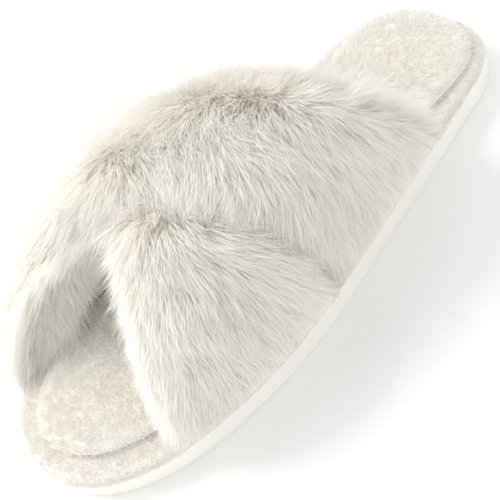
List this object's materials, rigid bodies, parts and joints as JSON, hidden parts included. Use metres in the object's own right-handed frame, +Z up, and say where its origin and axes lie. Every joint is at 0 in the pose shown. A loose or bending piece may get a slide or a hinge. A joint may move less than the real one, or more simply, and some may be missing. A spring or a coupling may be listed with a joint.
{
  "type": "fluffy cross-band house slipper",
  "caption": "Open-toe, open-heel left house slipper: flat moulded foam sole, plush footbed and long-fur bands that cross over the instep.",
  "frame": {"origin": "on the flat underside of the outsole, below the middle of the sole's length and near its centre line", "axes": "+Z up from the floor, +Y from toe to heel, +X towards the lateral (outer) side of a left foot"},
  "size_m": [0.1175, 0.2677, 0.1028],
  "materials": {
    "eva_sole": "satin moulded foam",
    "filler_felt": "matte felt",
    "fibre_board": "matte",
    "foam": "matte open-cell foam",
    "short_plush": "short dense plush pile",
    "lining_plush": "short brushed pile",
    "long_fur": "long silky faux fur",
    "thread": "twisted sewing thread"
  },
  "bodies": {
    "root": {"outsole": "eva_sole", "bottom_filler": "filler_felt", "insole_board": "fibre_board", "midsole_foam": "foam", "side_wrap": "short_plush", "insole_pad": "foam", "insole_cover": "short_plush", "insole_stitches": "thread", "over_band_lining": "lining_plush", "over_band_foam": "foam", "over_band_fur": "long_fur", "under_band_lining": "lining_plush", "under_band_foam": "foam", "under_band_fur": "long_fur", "over_band_stitches": "thread", "under_band_stitches": "thread", "crossing_stitches": "thread"}
  },
  "joints": []
}
